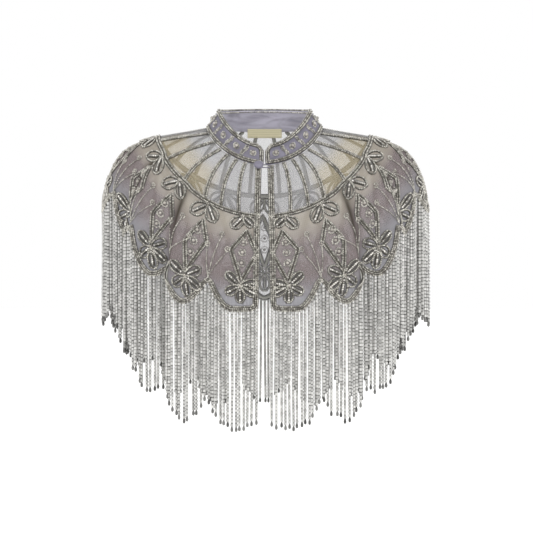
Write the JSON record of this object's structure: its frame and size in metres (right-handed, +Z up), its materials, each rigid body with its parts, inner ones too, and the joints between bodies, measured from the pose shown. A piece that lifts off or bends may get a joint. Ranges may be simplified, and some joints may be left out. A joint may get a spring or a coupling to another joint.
{
  "type": "beaded fringe cape",
  "caption": "Short sheer shoulder cape with a beaded stand collar, beaded rays over the yoke, a scalloped hem and a long bead fringe, hollow as it is worn.",
  "frame": {"origin": "middle of the neck opening, 3 mm below the neck seam's two side points", "axes": "+Z up, -Y towards the front opening, +X towards the wearer's left shoulder"},
  "size_m": [0.4096, 0.264, 0.3989],
  "materials": {
    "net": "sheer matt net, blue-grey at the yoke and warm grey to lavender below it",
    "satin": "soft lavender-grey satin",
    "beads": "silver-lined bead rows with small bright glints",
    "strands": "bright silver-grey bugle and seed beads",
    "label": "matt woven cream tape"
  },
  "bodies": {
    "root": {"front_right": "net", "front_right_edging": "beads", "front_right_yoke_beading": "beads", "front_right_fringe": "strands", "back": "net", "back_edging": "beads", "back_yoke_beading": "beads", "back_fringe": "strands", "front_left": "net", "front_left_edging": "beads", "front_left_yoke_beading": "beads", "front_left_fringe": "strands", "collar": "satin", "collar_lining": "satin", "collar_edging": "beads", "neck_label": "label", "button": "satin", "button_loop": "satin"}
  },
  "joints": []
}
